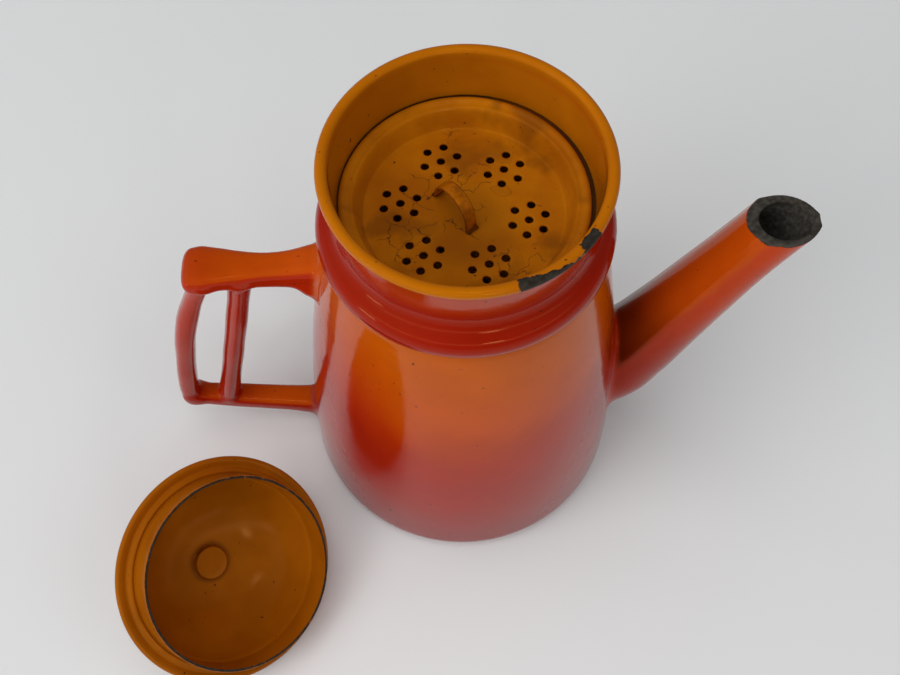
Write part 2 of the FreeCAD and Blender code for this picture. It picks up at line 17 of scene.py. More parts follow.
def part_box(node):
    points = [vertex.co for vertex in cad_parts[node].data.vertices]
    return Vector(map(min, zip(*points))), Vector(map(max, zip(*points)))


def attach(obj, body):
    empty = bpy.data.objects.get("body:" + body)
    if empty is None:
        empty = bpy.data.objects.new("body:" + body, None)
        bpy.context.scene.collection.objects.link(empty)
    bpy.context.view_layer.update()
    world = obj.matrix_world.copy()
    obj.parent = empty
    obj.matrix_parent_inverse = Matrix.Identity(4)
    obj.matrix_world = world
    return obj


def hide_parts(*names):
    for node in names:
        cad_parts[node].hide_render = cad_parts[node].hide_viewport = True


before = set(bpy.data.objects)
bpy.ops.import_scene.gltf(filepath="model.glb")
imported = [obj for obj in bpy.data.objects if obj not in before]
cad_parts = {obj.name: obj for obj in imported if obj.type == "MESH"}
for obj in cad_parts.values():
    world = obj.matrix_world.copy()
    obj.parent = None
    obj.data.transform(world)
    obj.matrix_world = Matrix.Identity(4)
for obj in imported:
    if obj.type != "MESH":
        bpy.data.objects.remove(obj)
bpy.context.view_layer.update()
MM = 0.001


def cad_box(node):
    """A CAD node's lowest and highest corners in millimetres."""
    low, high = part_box(node)
    return np.array(low) / MM, np.array(high) / MM


# ---------------- sizes

BODY_HIGH = cad_box("pot_body")[1]
BASE_RADIUS = BODY_HIGH[1]
NECK_TOP = BODY_HIGH[2]
HOPPER_HIGH = cad_box("filter_hopper")[1]
RIM_RADIUS = 52.5
RIM_ROLL = 2.2
RIM_TOP = HOPPER_HIGH[2]
COLLAR_RADIUS = HOPPER_HIGH[1]
DISC_LOW, DISC_HIGH = cad_box("spreader_disc")
DISC_CENTRE = (DISC_LOW + DISC_HIGH) / 2
DISC_RADIUS = (DISC_HIGH[0] - DISC_LOW[0]) / 2
STRAP_LOW, STRAP_HIGH = cad_box("spreader_strap")
STRAP_CENTRE = (STRAP_LOW + STRAP_HIGH) / 2
DISC_FLAT = STRAP_LOW[2]
SPOUT_HIGH = cad_box("spout")[1]
SPOUT_TIP, MOUTH = SPOUT_HIGH[0], SPOUT_HIGH[2]

# the shell's wall and floor, the top and the bow of its side, its foot, and its straight neck
WALL = 3.2
FLOOR = 4.0
SIDE_TOP = (53.8, 174.0)
SIDE_BULGE = 3.4
BASE_CORNER = 9.0
BASE_FLAT = BASE_RADIUS - BASE_CORNER
BASE_MIDDLE = 30
NECK_RADIUS = 50.2
NECK_LOW = 178.6


# ---------------- mesh helpers

def mesh_object(name, points, faces):
    """A smooth-shaded mesh from points in millimetres."""
    mesh = bpy.data.meshes.new(name)
    mesh.from_pydata([tuple(point) for point in np.asarray(points) * MM], [], faces)
    mesh.update()
    mesh.shade_smooth()
    piece = bpy.data.objects.new(name, mesh)
    bpy.context.scene.collection.objects.link(piece)
    return piece


def arc(centre, radius, start, end, steps=12):
    """Points of an arc as radius and height; angles in degrees from outward, upward positive."""
    angles = np.radians(np.linspace(start, end, steps))
    return [(centre[0] + radius * math.cos(a), centre[1] + radius * math.sin(a)) for a in angles]


def bowed(start, end, bulge, steps=40):
    """Points of a shallow arc from start to end that bows out by bulge, without its end points."""
    start, end = np.array(start, float), np.array(end, float)
    along = np.linspace(0, 1, steps + 2)[1:-1, None]
    chord = end - start
    side = np.array([chord[1], -chord[0]]) / np.hypot(*chord)
    return [tuple(p) for p in start + chord * along + side * bulge * 4 * along * (1 - along)]


def rounded(corners, radii, steps=6):
    """A polyline whose inner corners are rounded; radii has one number for each corner."""
    corners = [np.array(corner, float) for corner in corners]
    points = [tuple(corners[0])]
    for before, corner, after, radius in zip(corners, corners[1:], corners[2:], radii[1:]):
        back, ahead = before - corner, after - corner
        reach = min(radius, 0.45 * np.hypot(*back), 0.45 * np.hypot(*ahead))
        first = corner + back / np.hypot(*back) * reach
        last = corner + ahead / np.hypot(*ahead) * reach
        for t in np.linspace(0, 1, steps):
            points.append(tuple((1 - t) ** 2 * first + 2 * t * (1 - t) * corner + t ** 2 * last))
    points.append(tuple(corners[-1]))
    return points


def refined(profile, longest):
    """The same profile with extra points, so that no edge is longer than this."""
    points = []
    for first, second in zip(profile, profile[1:]):
        count = max(1, math.ceil(math.dist(first, second) / longest))
        for step in range(count):
            t = step / count
            points.append((first[0] + (second[0] - first[0]) * t,
                           first[1] + (second[1] - first[1]) * t))
    return points + [profile[-1]]


def lathe(name, profile, segments=320, closed=False, dent=None):
    """A turned mesh from a profile of radius and height, drawn from the bottom outside upward.

    An open profile starts and ends on the axis. dent(angle, radius, height) returns the radius
    with its small unevenness.
    """
    angles = np.linspace(0, 2 * math.pi, segments, endpoint=False)
    rings = [point for point in profile if point[0] > 1e-6]
    radius = np.array([point[0] for point in rings])[:, None]
    height = np.array([point[1] for point in rings])[:, None]
    around = np.broadcast_to(angles[None, :], (len(rings), segments))
    uneven = radius + np.zeros_like(around) if dent is None else dent(around, radius, height)
    points = np.stack([uneven * np.cos(around), uneven * np.sin(around),
                       np.broadcast_to(height, around.shape)], axis=-1).reshape(-1, 3)
    points = [tuple(point) for point in points]
    faces = []
    count = len(rings)
    for row in range(count if closed else count - 1):
        low, high = row * segments, (row + 1) % count * segments
        for step in range(segments):
            turn = (step + 1) % segments
            faces.append((low + step, low + turn, high + turn, high + step))
    if not closed:
        for pole, row, flip in ((profile[0], 0, True), (profile[-1], count - 1, False)):
            points.append((0.0, 0.0, pole[1]))
            tip = len(points) - 1
            for step in range(segments):
                ring = (row * segments + step, row * segments + (step + 1) % segments)
                faces.append((ring[1], ring[0], tip) if flip else (ring[0], ring[1], tip))
    return mesh_object(name, points, faces)


def subtract(piece, cutter):
    """Cut one mesh out of another and remove the cutter."""
    modifier = piece.modifiers.new("cut", "BOOLEAN")
    modifier.operation = "DIFFERENCE"
    modifier.solver = "EXACT"
    modifier.object = cutter
    bpy.context.view_layer.update()
    graph = bpy.context.evaluated_depsgraph_get()
    shaped = bpy.data.meshes.new_from_object(piece.evaluated_get(graph))
    piece.modifiers.clear()
    piece.data = shaped
    bpy.data.objects.remove(cutter)


# ---------------- distance fields

def smooth_path(rows, steps=14):
    """A Catmull-Rom curve through rows of numbers, with steps points in each span."""
    rows = np.array(rows, float)
    padded = np.vstack([2 * rows[0] - rows[1], rows, 2 * rows[-1] - rows[-2]])
    points = []
    for index in range(1, len(padded) - 2):
        a, b, c, d = padded[index - 1:index + 3]
        for t in np.linspace(0, 1, steps, endpoint=False):
            points.append(0.5 * (2 * b + (c - a) * t + (2 * a - 5 * b + 4 * c - d) * t ** 2
                                 + (3 * b - a - 3 * c + d) * t ** 3))
    points.append(rows[-1])
    return np.array(points)


def nearest(path, x, z):
    """How far x, z lies off a path in its own plane, left of it positive, and the path's other
    columns at the nearest point."""
    best = np.full(np.broadcast(x, z).shape, np.inf)
    side = np.zeros_like(best)
    columns = [np.zeros_like(best) for _ in range(path.shape[1] - 2)]
    for start, end in zip(path[:-1], path[1:]):
        run = end[:2] - start[:2]
        length = run @ run
        t = np.clip(((x - start[0]) * run[0] + (z - start[1]) * run[1]) / length, 0, 1)
        dx, dz = x - start[0] - t * run[0], z - start[1] - t * run[1]
        away = np.hypot(dx, dz)
        closer = away < best
        best = np.where(closer, away, best)
        side = np.where(closer, run[0] * dz - run[1] * dx, side)
        for number, column in enumerate(columns):
            value = start[number + 2] + t * (end[number + 2] - start[number + 2])
            columns[number] = np.where(closer, value, column)
    return best * np.where(side < 0, -1, 1), columns


def blended(a, b, reach):
    """The smooth union of two fields; the seam is filled over this reach."""
    h = np.clip(0.5 + 0.5 * (b - a) / reach, 0, 1)
    return b + (a - b) * h - reach * h * (1 - h)


def carved(a, b, reach):
    """Field a less field b, with the new edge rounded over this reach."""
    return -blended(-a, b, reach)


def surface_net(field, low, high, cell):
    """Points and four-cornered faces of a field's zero surface; the field is negative inside."""
    axes = [np.arange(a, b + cell, cell) for a, b in zip(low, high)]
    x, y, z = axes[0][:, None, None], axes[1][None, :, None], axes[2][None, None, :]
    value = field(x, y, z) + np.zeros((len(axes[0]), len(axes[1]), len(axes[2])))
    inside = value < 0
    shape = tuple(n - 1 for n in value.shape)

    def corner(array, offset):
        return array[tuple(slice(o, o + n) for o, n in zip(offset, shape))]

    corners = list(product((0, 1), repeat=3))
    filled = sum(corner(inside, c).astype(np.int8) for c in corners)
    mixed = (filled > 0) & (filled < 8)
    index = np.full(shape, -1, np.int64)
    index[mixed] = np.arange(int(mixed.sum()))
    total = np.zeros((int(mixed.sum()), 3))
    crossings = np.zeros(int(mixed.sum()))
    for first in corners:
        for axis in range(3):
            if first[axis]:
                continue
            second = tuple(1 if n == axis else first[n] for n in range(3))
            a, b = corner(value, first)[mixed], corner(value, second)[mixed]
            crossed = (a < 0) != (b < 0)
            t = np.where(crossed, a / np.where(a == b, 1, a - b), 0)
            spot = np.tile(np.array(first, float), (len(a), 1))
            spot[:, axis] += t
            total += spot * crossed[:, None]
            crossings += crossed
    place = np.argwhere(mixed) + total / crossings[:, None]
    points = np.array(low) + place * cell

    faces = []
    for axis in range(3):
        others = [n for n in range(3) if n != axis]
        start = [slice(1, n) for n in shape]
        start[axis] = slice(0, shape[axis])
        here = inside[tuple(start)]
        ahead_slice = list(start)
        ahead_slice[axis] = slice(1, shape[axis] + 1)
        ahead = inside[tuple(ahead_slice)]
        changed = here != ahead
        where = np.argwhere(changed)
        where[:, others[0]] += 1
        where[:, others[1]] += 1
        ring = []
        for da, db in ((0, 0), (-1, 0), (-1, -1), (0, -1)):
            spot = where.copy()
            spot[:, others[0]] += da
            spot[:, others[1]] += db
            ring.append(index[tuple(spot.T)])
        ring = np.stack(ring, axis=1)
        outward = here[changed] == (axis != 1)
        ring[~outward] = ring[~outward][:, ::-1]
        faces.append(ring)
    return points, np.vstack(faces)


def sculpt(name, field, low, high, cell):
    """A mesh of a field's surface, with each point moved onto the exact surface."""
    points, faces = surface_net(field, low, high, cell)
    nudge = 0.05 * cell
    for _ in range(2):
        x, y, z = points.T
        value = field(x, y, z)
        slope = np.stack([(field(x + nudge, y, z) - field(x - nudge, y, z)) / (2 * nudge),
                          (field(x, y + nudge, z) - field(x, y - nudge, z)) / (2 * nudge),
                          (field(x, y, z + nudge) - field(x, y, z - nudge)) / (2 * nudge)], axis=-1)
        steep = np.maximum((slope ** 2).sum(-1), 0.1)
        step = slope * (value / steep)[:, None]
        far = np.linalg.norm(step, axis=1)
        points = points - step * np.minimum(1, 0.5 * cell / np.maximum(far, 1e-9))[:, None]
    return mesh_object(name, points, faces.tolist())


# ---------------- the pot's body

def side_radius(z):
    """The radius of the body's outer side at a height."""
    t = (z - BASE_CORNER) / (SIDE_TOP[1] - BASE_CORNER)
    return BASE_RADIUS + (SIDE_TOP[0] - BASE_RADIUS) * t + SIDE_BULGE * 4 * t * (1 - t)


def body_profile():
    """The shell's profile from the base's middle, up the outside, over the neck and down inside."""
    inner_top = (SIDE_TOP[0] - WALL, SIDE_TOP[1])
    points = [(0, 0)] + refined([(BASE_MIDDLE, 0), (BASE_FLAT, 0)], 6)
    points += arc((BASE_FLAT, BASE_CORNER), BASE_CORNER, -84, 0, 14)
    points += bowed((BASE_RADIUS, BASE_CORNER), SIDE_TOP, SIDE_BULGE, 60)
    points += rounded([SIDE_TOP, (52.6, 177.6), (NECK_RADIUS, NECK_LOW),
                       (NECK_RADIUS, NECK_TOP), (NECK_RADIUS - WALL, NECK_TOP),
                       (NECK_RADIUS - WALL, NECK_LOW), inner_top],
                      [0, 3, 3, 1.3, 1.3, 3, 0])
    points += bowed((BASE_RADIUS - WALL, BASE_CORNER), inner_top, SIDE_BULGE)[::-1]
    points += arc((BASE_FLAT, FLOOR + BASE_CORNER - WALL), BASE_CORNER - WALL, 0, -90, 8)
    return points + [(BASE_MIDDLE, FLOOR), (0, FLOOR)]


def body_dent(angle, radius, height):
    """The casting's slow unevenness under the enamel."""
    wave = 0.10 * np.sin(2 * angle + 0.6 + height / 70) + 0.07 * np.sin(3 * angle - height / 45)
    return radius - 0.17 + wave * np.clip(radius / BASE_RADIUS, 0, 1)


# x, z, half depth and half width of the spout, from inside the body to the mouth
SPOUT = smooth_path([
    (48.0, 54.0, 22.6, 22.6), (68.0, 62.0, 21.2, 21.2), (79.0, 78.0, 18.4, 18.4),
    (88.5, 100.0, 16.2, 16.2), (98.0, 124.0, 14.5, 14.5), (110.0, 154.0, 12.8, 12.6),
    (124.0, 187.0, 13.0, 11.2),
])
# the same for its bore, which opens like a spoon toward the lip
BORE = smooth_path([
    (48.0, 54.0, 15.5, 15.5), (68.0, 62.0, 15.0, 15.0), (79.0, 78.0, 13.6, 13.6),
    (88.5, 100.0, 12.4, 12.4), (98.0, 124.0, 11.2, 11.2), (109.2, 152.0, 9.3, 9.4),
    (115.4, 165.5, 9.0, 8.8), (120.9, 177.0, 9.5, 8.6), (125.4, 187.0, 10.4, 8.5),
])


# how far the enamel stands off the body, fills a root, and reaches past a casting's own skin
FILM = 0.06
SPOUT_FILL, SPOUT_REACH = 5.0, 8.5
HANDLE_FILL, HANDLE_REACH = 4.5, 7.5
UNDERCUT = 1.0
# centre and half size of the bead of enamel pooled under the handle's top arm
POOL_CENTRE, POOL_SIZE = (-61, -3, 141.5), (5, 5, 4.5)


def bump_at(value, centre, width):
    """A smooth bump of height one round a centre."""
    return np.exp(-((value - centre) / width) ** 2)


def body_field(x, y, z):
    """Distance from the body's uneven outer side, inside negative."""
    return (np.hypot(x, y) - body_dent(np.arctan2(y, x), side_radius(z), z)) * 0.99


def spout_field(x, y, z):
    """The spout with its bore, its level mouth and the enamel that fills its root."""
    side, (deep, wide) = nearest(SPOUT, x, z)
    around = np.arctan2(-y, side)
    ridge = 0.5 * bump_at(np.abs(around), 0.95, 0.16) * np.clip((z - 66) / 30, 0, 1)
    beak = 0.8 * bump_at(np.abs(around), math.pi, 0.30) * np.clip((z - 166) / 11, 0, 1) ** 2
    across = np.hypot(side / deep, y / wide)
    outside = (across - 1) * wide - ridge - beak
    body = body_field(x, y, z)
    solid = np.maximum(blended(outside, body + FILM, SPOUT_FILL), outside - SPOUT_REACH)
    offset, (bore_deep, bore_wide) = nearest(BORE, x, z)
    hollow = (np.hypot(offset / bore_deep, y / bore_wide) - 1) * bore_wide
    solid = carved(solid, hollow, 0.6)
    solid = carved(solid, MOUTH - 0.1 - z, 0.6)
    return np.maximum(np.maximum(solid, -(body + UNDERCUT)), x - SPOUT_TIP + 0.08)


def spout_piece():
    """The sculpted spout."""
    return sculpt("spout_enamel", spout_field, (58, -32, 22), (137, 32, 180), 0.64)


def bore_cutter():
    """A tube-shaped solid that opens the spout's bore through the body's wall."""
    def field(x, y, z):
        offset, (deep, _) = nearest(BORE, x, z)
        return np.maximum(np.hypot(offset, y) - deep, x - 84)
    return sculpt("bore_cutter", field, (30, -18, 34), (86, 18, 96), 1.6)


def body_piece():
    """The turned shell with the spout's bore cut through it."""
    piece = lathe("body_enamel", body_profile(), 360, dent=body_dent)
    subtract(piece, bore_cutter())
    return piece


# ---------------- the handle

# x, z, half depth in the handle's plane and half width along Y of each bar
TOP_ARM = smooth_path([
    (-50.0, 150.5, 9.8, 9.6), (-60.0, 150.0, 8.2, 8.0), (-69.0, 149.3, 6.4, 6.8),
    (-79.0, 148.9, 5.5, 6.4), (-89.0, 149.2, 5.0, 7.2), (-98.0, 149.8, 4.9, 8.5),
    (-104.0, 150.0, 4.8, 9.1), (-107.5, 149.8, 4.4, 8.6),
])
OUTER_BAR = smooth_path([
    (-106.0, 147.0, 5.0, 7.0), (-108.8, 137.0, 4.2, 5.8), (-113.5, 124.5, 4.0, 5.2),
    (-119.0, 108.5, 4.8, 5.7), (-123.6, 91.0, 4.6, 5.8), (-127.0, 74.0, 4.6, 5.6),
    (-130.6, 54.0, 4.5, 5.4), (-133.0, 36.5, 4.6, 5.3), (-131.5, 29.5, 4.6, 5.2),
])
BRACE = smooth_path([
    (-90.0, 146.0, 5.4, 6.0), (-94.0, 126.0, 4.7, 5.3), (-98.7, 104.0, 4.7, 5.2),
    (-103.7, 81.0, 4.7, 5.2), (-109.4, 55.0, 4.8, 5.2), (-114.6, 31.0, 5.2, 5.4),
])
LOWER_ARM = smooth_path([
    (-132.5, 29.5, 4.4, 4.8), (-124.0, 27.4, 4.6, 5.2), (-112.0, 25.0, 4.8, 5.6),
    (-98.0, 22.4, 4.8, 5.6), (-86.0, 20.2, 4.9, 5.8), (-77.0, 18.4, 5.5, 6.4),
    (-62.0, 15.5, 6.8, 7.8),
])


def bar_field(path, x, y, z, power):
    """A bar along a path; power 2 gives an oval section, more a squarer and less a ridged one."""
    side, (deep, wide) = nearest(path, x, z)
    across = (np.abs(side / deep) ** power + np.abs(y / wide) ** power) ** (1 / power)
    return (across - 1) * np.minimum(deep, wide)


def handle_field(x, y, z):
    """The open handle: four bars run together, with enamel pooled at the body."""
    arm = bar_field(TOP_ARM, x, y, z, 3.6)
    bars = blended(bar_field(OUTER_BAR, x, y, z, 2.4), bar_field(LOWER_ARM, x, y, z, 3.2), 4.0)
    bars = blended(bars, bar_field(BRACE, x, y, z, 1.6), 3.0)
    handle = blended(arm, bars, 5.0)
    offsets = zip((x, y, z), POOL_CENTRE, POOL_SIZE)
    pooled = np.sqrt(sum(((spot - middle) / size) ** 2 for spot, middle, size in offsets)) - 1
    handle = blended(handle, pooled * 4, 5.0)
    uneven = 0.16 * np.sin(x / 9.1 + z / 11.7) * np.sin(y / 8.9 + z / 14.1)
    body = body_field(x, y, z)
    joined = blended(handle + uneven, body + FILM, HANDLE_FILL)
    return np.maximum(np.maximum(joined, handle - HANDLE_REACH), -(body + UNDERCUT))


def handle_piece():
    """The sculpted handle."""
    return sculpt("handle_enamel", handle_field, (-141, -18, 1), (-50, 18, 170), 0.75)


# ---------------- the filter

def hopper_profile():
    """The hopper's closed profile: rolled rim, wall, cove and collar, then back up the inside."""
    sheet, inner = 1.8, 46.6
    rim = (RIM_RADIUS - RIM_ROLL, RIM_TOP - RIM_ROLL)
    flare, cove = 195.3, 8.0
    centre = (inner + sheet + cove, flare)
    join = (centre[0] - cove / 2, flare - cove * math.sqrt(0.75))
    bead = 2 * (COLLAR_RADIUS - join[0])
    middle = (join[0] - bead / 2, join[1] - bead * math.sqrt(0.75))
    points = arc(middle, bead, -30, 60, 22)
    points += arc(centre, cove, 240, 180, 14)[1:]
    points += refined([(inner + sheet, flare + 1), (RIM_RADIUS - 2.7, RIM_TOP - 5.2)], 3)
    points += arc(rim, RIM_ROLL, -95, 175, 34)
    points += refined([(RIM_RADIUS - 2 * RIM_ROLL, RIM_TOP - 4), (inner, 197)], 3)
    points += arc(centre, cove + sheet, 180, 240, 10)
    points += arc(middle, bead - sheet, 60, -28, 16)
    edge = arc(middle, bead - sheet / 2, -32, -32, 1)[0]
    return points + arc(edge, sheet / 2, -200, -60, 6)


def hopper_dent(angle, radius, _):
    """The pressing's slight oval."""
    return radius - 0.08 + 0.07 * np.sin(2 * angle + 1.0)


def hopper_piece():
    """The turned hopper."""
    return lathe("hopper_enamel", hopper_profile(), 420, closed=True, dent=hopper_dent)


# the spreader's middle surface: its flat, and the slope up to the ledge; then its holes
FLAT_HIGH = DISC_FLAT - 0.6
LEDGE_HIGH = 197.1
SLOPE_INNER, SLOPE_OUTER = 36.8, 41.4
GROUP_RADIUS, RING_RADIUS, HOLE_RADIUS = 23.8, 6.5, 1.55


def disc_profile(radius):
    """The height of the spreader's middle surface at a radius."""
    step = np.clip((radius - SLOPE_INNER) / (SLOPE_OUTER - SLOPE_INNER), 0, 1)
    rise = FLAT_HIGH + (LEDGE_HIGH - FLAT_HIGH) * step * step * (3 - 2 * step)
    return rise + 0.9 * bump_at(radius, DISC_RADIUS - 1.6, 1.2) - 0.25 * bump_at(radius, 0, 22)


def hole_centres():
    """The centres of the spreader's six groups of seven holes, from the disc's own centre."""
    for group in range(6):
        turn = math.radians(-10 + 60 * group)
        middle = GROUP_RADIUS * np.array([math.cos(turn), math.sin(turn)])
        yield tuple(middle)
        for step in range(6):
            angle = turn + math.radians(30 + 60 * step)
            yield tuple(middle + RING_RADIUS * np.array([math.cos(angle), math.sin(angle)]))


def disc_field(x, y, z):
    """The dished disc with its round holes, their edges thick with enamel."""
    x, y = x - DISC_CENTRE[0], y - DISC_CENTRE[1]
    radius = np.hypot(x, y)
    half_thick = 0.62
    slope = (disc_profile(radius + 0.05) - disc_profile(radius - 0.05)) / 0.1
    sheet = np.abs(z - disc_profile(radius)) / np.hypot(1, slope) - half_thick
    solid = carved(sheet, DISC_RADIUS - 0.05 - radius, 0.5)
    hole = np.full(np.broadcast(x, y).shape, 50.0)
    for cx, cy in hole_centres():
        hole = np.minimum(hole, np.hypot(x - cx, y - cy) - HOLE_RADIUS)
    return carved(solid, hole, 0.45)


def disc_piece():
    """The sculpted spreader disc."""
    return sculpt("spreader_enamel", disc_field, DISC_LOW - 1, DISC_HIGH + 1, 0.45)


STRAP_ANGLE = math.radians(-53)


def strap_piece():
    """The finger loop: a strip bent over, with soft edges and feet that turn out onto the disc."""
    half, high, thick, wide, foot = 9.3, 12.2, 1.1, 5.0, 1.5
    bend = 2.4
    leg = [(half - 0.1, bend), (half + 0.2, 0.9), (half + foot, 0.35)]
    bow = [(math.cos(a) * half, bend + math.sin(a) * (high - bend))
           for a in np.linspace(math.pi, 0, 30)[1:-1]]
    line = np.array([(-u, v) for u, v in reversed(leg)] + bow + leg)
    tangent = np.gradient(line, axis=0)
    tangent /= np.linalg.norm(tangent, axis=1)[:, None]
    normal = np.stack([-tangent[:, 1], tangent[:, 0]], axis=-1)
    section = []
    for angle in np.linspace(0, 2 * math.pi, 24, endpoint=False):
        c, s = math.cos(angle), math.sin(angle)
        section.append((math.copysign(abs(c) ** 0.35, c) * wide / 2,
                        math.copysign(abs(s) ** 0.6, s) * thick / 2))
    points, faces = [], []
    along = np.array([math.cos(STRAP_ANGLE), math.sin(STRAP_ANGLE)])
    across = np.array([-along[1], along[0]])
    for index, (spot, out) in enumerate(zip(line, normal)):
        twist = 0.25 * math.sin(index / 7)
        for w, t in section:
            u = spot[0] + out[0] * t
            v = spot[1] + out[1] * t
            place = along * u + across * (w + twist)
            points.append((place[0] + STRAP_CENTRE[0], place[1] + STRAP_CENTRE[1], DISC_FLAT + v))
    count = len(section)
    for row in range(len(line) - 1):
        for step in range(count):
            a, b = row * count + step, row * count + (step + 1) % count
            faces.append((a, b, b + count, a + count))
    faces.append(tuple(range(count))[::-1])
    faces.append(tuple(range((len(line) - 1) * count, len(line) * count)))
    return mesh_object("strap_enamel", points, faces)


# ---------------- the lid

# where the lid lies and which way it opens; radius, height and roundness of the two places it
# rests on, in its own frame; the skirt's depth; the radii of its skirt and dome; its crown
LID_CENTRE = (-109.4, -89.8)
LID_LEAN = math.radians(-33)
KNOB = (9.5, -47.0, 3.0)
FLANGE_BEAD = (49.5, -15.75, 1.5)
SKIRT = 15.0
SKIRT_INNER, SKIRT_OUTER = 41.8, 43.2
DOME_INNER, DOME_OUTER = 40.8, 41.7
CROWN_LOW, CROWN_HIGH, CROWN_FLAT = 37.5, 39.0, 9.5


def lid_matrix():
    """The lid's own frame, skirt edge at zero and knob upward, laid on its knob and flange."""
    reach = math.hypot(FLANGE_BEAD[0] - KNOB[0], FLANGE_BEAD[1] - KNOB[1])
    slope = math.atan2(FLANGE_BEAD[1] - KNOB[1], FLANGE_BEAD[0] - KNOB[0])
    lean = slope + math.asin((KNOB[2] - FLANGE_BEAD[2]) / reach)
    height = math.sin(lean) * KNOB[0] - math.cos(lean) * KNOB[1] + KNOB[2]
    opening = Vector((math.sin(lean) * math.cos(LID_LEAN), math.sin(lean) * math.sin(LID_LEAN),
                      math.cos(lean)))
    place = Vector((LID_CENTRE[0] + opening.x * SKIRT, LID_CENTRE[1] + opening.y * SKIRT, height))
    turn = Vector((0, 0, 1)).rotation_difference(-opening)
    return Matrix.Translation(place * MM) @ turn.to_matrix().to_4x4()


def lid_profile():
    """The pressed lid's profile: the inside from the dome's flat to the skirt's edge, and the
    outside back from the skirt's edge to the dome's flat."""
    outside = rounded([(SKIRT_INNER, 0.5), (SKIRT_INNER, 0), (SKIRT_OUTER, 0), (SKIRT_OUTER, 14.4),
                       (44.0, 13.7), (45.0, 14.0), (46.3, 15.4), (48.0, 14.7)],
                      [0, 0.5, 0.7, 0.9, 0.7, 0.8, 1.2, 0])
    outside += arc((FLANGE_BEAD[0], -FLANGE_BEAD[1]), FLANGE_BEAD[2] - 0.02, -90, 95, 18)
    outside += rounded([(48.4, 17.0), (46.3, 16.6), (43.0, 16.6), (DOME_OUTER, 17.1)],
                       [0, 1.2, 1.2, 0])
    outside += dome_arc(CROWN_FLAT, DOME_OUTER, 17.1, CROWN_HIGH)[1:] + [(0, CROWN_HIGH)]
    inside = [(0, CROWN_LOW)] + dome_arc(CROWN_FLAT, DOME_INNER, 15.6, CROWN_LOW)[::-1]
    inside += rounded([(DOME_INNER, 15.6), (SKIRT_INNER, 14.4), (SKIRT_INNER, 0.5)],
                      [0, 0.8, 0])[1:]
    return inside + outside[1:]


def dome_arc(inner, outer, low, high, steps=40):
    """Points of the dome from its rim at outer, low up to its flat at inner, high."""
    rise, run = high - low, outer - inner
    radius = (run ** 2 + rise ** 2) / (2 * rise)
    start = math.asin(run / radius)
    return [(inner + radius * math.sin(a), high - radius + radius * math.cos(a))
            for a in np.linspace(start, 0, steps)]


def lid_pieces(matrix):
    """The lid's shell, knob and rivet, laid on the table by the matrix of the lid's own frame."""
    shell = lathe("lid_enamel", lid_profile(), 360)
    knob_side = rounded([(5.0, 38.6), (7.4, 38.9), (6.2, 40.6), (8.5, 42.2), (12.5, 45.2),
                         (12.3, 47.6), (9.5, 50.0), (4.0, 50.0)], [0, 1.5, 1.5, 2, 3, 2, 3, 0])
    knob = lathe("knob_enamel", [(0, 38.6)] + knob_side + [(0, 50.0)], 128)
    button_side = rounded([(4.0, 34.2), (7.55, 34.25), (7.7, 37.3), (8.6, 37.6), (6.4, 38.1)],
                          [0, 0.7, 0.6, 0.4, 0])
    button = lathe("rivet_enamel", [(0, 34.2)] + button_side + [(0, 38.1)], 128)
    for piece in (shell, knob, button):
        piece.data.transform(matrix)
    return shell, knob, button


# ---------------- materials

